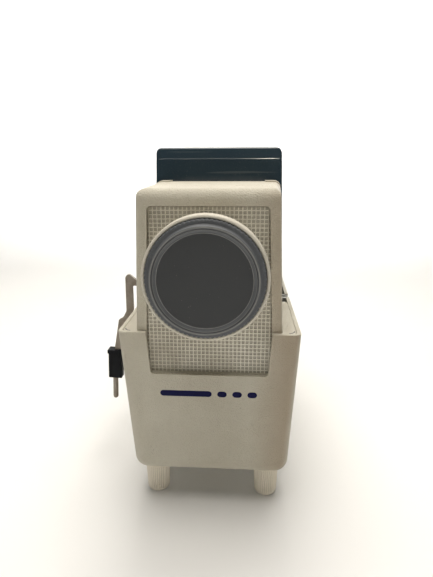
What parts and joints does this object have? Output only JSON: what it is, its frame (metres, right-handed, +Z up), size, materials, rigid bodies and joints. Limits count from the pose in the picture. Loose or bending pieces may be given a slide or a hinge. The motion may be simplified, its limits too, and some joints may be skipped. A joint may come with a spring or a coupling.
{
  "type": "slide projector",
  "caption": "Upright slide projector: drafted cream tub and lens head, recessed waffle front, knurled focus ring with grey cap, side push-pull slide changer, dark lamp cover, screw feet.",
  "frame": {"origin": "bottom centre of the whole object, on the surface that its four feet stand on; the changer handle on the left is counted, so the lens axis lies 20.2 mm to the right of the origin", "axes": "+Z up, -Y towards the lens side, +X to the right seen from the lens side"},
  "size_m": [0.1704, 0.257, 0.2745],
  "materials": {
    "cream_shell": "fine moulded grain",
    "ring_cream": "knurled, satin",
    "foot_cream": "fluted, satin",
    "cover_blue": "glossy stoved enamel",
    "cap_grey": "matte moulded",
    "bezel_grey": "satin",
    "black_metal": "black anodised",
    "black_plastic": "moulded",
    "nylon": "natural nylon",
    "steel_plate": "zinc plated",
    "arm_steel": "satin stove enamel, worn",
    "frame_black": "matte black",
    "screw_steel": "plated",
    "lens_glass": "polished",
    "bulb_quartz": "polished",
    "ceramic_socket": "unglazed",
    "mirror_face": "polished",
    "contact_brass": "turned",
    "motor_can": "satin",
    "core_iron": "laminated, varnished",
    "coil_wrap": "tape wrapped",
    "pad_rubber": "matte"
  },
  "bodies": {
    "housing": {"base_screws": "screw_steel", "channel_rail": "steel_plate", "chassis_plate": "steel_plate", "condenser_front": "lens_glass", "condenser_holder": "black_metal", "condenser_rear": "lens_glass", "deck_plate": "cream_shell", "fan_brackets": "steel_plate", "fan_frame": "black_plastic", "fan_motor": "motor_can", "foot_bushes": "contact_brass", "front_bulkhead": "steel_plate", "fuse_holder": "black_plastic", "gate_front_plate": "steel_plate", "gate_rear_plate": "steel_plate", "gate_springs": "screw_steel", "grille_panel": "cream_shell", "head_shell": "cream_shell", "heat_glass": "lens_glass", "inlet_pins": "contact_brass", "inlet_socket": "black_plastic", "lamp_bridge": "steel_plate", "lamp_house": "steel_plate", "lamp_socket": "ceramic_socket", "lens_mount": "black_metal", "mount_screws": "screw_steel", "panel_screws": "screw_steel", "rear_foot_left": "foot_cream", "rear_foot_right": "foot_cream", "rear_pads": "pad_rubber", "rear_panel": "frame_black", "reflector": "mirror_face", "switch_bezel": "black_plastic", "transformer_coil": "coil_wrap", "transformer_core": "core_iron", "transformer_strap": "steel_plate", "tub_shell": "cream_shell"},
    "focus_ring": {"focus_ring": "ring_cream"},
    "lens": {"lens_barrel": "black_metal", "front_bezel": "bezel_grey", "lens_front": "lens_glass", "lens_middle": "lens_glass", "lens_rear": "lens_glass", "lens_spacers": "black_metal", "lens_retainers": "black_metal"},
    "cap": {"lens_cap": "cap_grey"},
    "changer": {"changer_arm": "arm_steel", "changer_grip": "black_plastic", "changer_slider": "nylon", "changer_frame": "frame_black"},
    "stud_left": {"foot_stud_left": "screw_steel"},
    "knob_left": {"foot_knob_left": "foot_cream"},
    "stud_right": {"foot_stud_right": "screw_steel"},
    "knob_right": {"foot_knob_right": "foot_cream"},
    "cover": {"lamp_cover": "cover_blue"},
    "fan": {"fan_rotor": "black_plastic"},
    "switch": {"switch_rocker": "black_plastic"},
    "fuse": {"fuse_cap": "black_plastic"},
    "lamp": {"lamp_bulb": "bulb_quartz", "lamp_pins": "contact_brass"}
  },
  "joints": [
    {"name": "focus_turn", "type": "hinge", "parent": "housing", "child": "focus_ring", "pos_m": [0.02021, -0.1185, 0.1887], "axis": [0, -1, 0], "range_deg": [-100, 100]},
    {"name": "focus_travel", "type": "slide", "parent": "housing", "child": "lens", "axis": [0, -1, 0], "range_m": [-0.0045, 0.0045]},
    {"name": "cap_pull", "type": "slide", "parent": "lens", "child": "cap", "axis": [0, -1, 0], "range_m": [0, 0.03]},
    {"name": "changer_travel", "type": "slide", "parent": "housing", "child": "changer", "axis": [-1, 0, 0], "range_m": [0, 0.08]},
    {"name": "foot_left_travel", "type": "slide", "parent": "housing", "child": "stud_left", "axis": [0, 0, -1], "range_m": [-0.0015, 0.012]},
    {"name": "foot_left_turn", "type": "hinge", "parent": "stud_left", "child": "knob_left", "pos_m": [-0.02399, -0.0795, 0.01], "axis": [0, 0, -1], "range_deg": [-108.5, 864.5]},
    {"name": "foot_right_travel", "type": "slide", "parent": "housing", "child": "stud_right", "axis": [0, 0, -1], "range_m": [-0.0015, 0.012]},
    {"name": "foot_right_turn", "type": "hinge", "parent": "stud_right", "child": "knob_right", "pos_m": [0.06441, -0.0795, 0.01], "axis": [0, 0, -1], "range_deg": [-108.5, 864.5]},
    {"name": "cover_lift", "type": "slide", "parent": "housing", "child": "cover", "axis": [0, 0, 1], "range_m": [0, 0.06]},
    {"name": "fan_spin", "type": "hinge", "parent": "housing", "child": "fan", "pos_m": [0.02021, 0.0705, 0.11], "axis": [0, 0, 1], "continuous": true},
    {"name": "switch_rock", "type": "hinge", "parent": "housing", "child": "switch", "pos_m": [0.04421, 0.116, 0.074], "axis": [1, 0, 0], "range_deg": [-14, 0]},
    {"name": "fuse_pull", "type": "slide", "parent": "housing", "child": "fuse", "axis": [0, 1, 0], "range_m": [0, 0.025]},
    {"name": "lamp_pull", "type": "slide", "parent": "housing", "child": "lamp", "axis": [0, 0, 1], "range_m": [0, 0.02]}
  ],
  "couplings": [
    {"joint": "focus_travel", "follows": "focus_turn", "m_per_rad": 0.0025783},
    {"joint": "foot_left_turn", "follows": "foot_left_travel", "rad_per_m": 1256.6},
    {"joint": "foot_right_turn", "follows": "foot_right_travel", "rad_per_m": 1256.6}
  ]
}
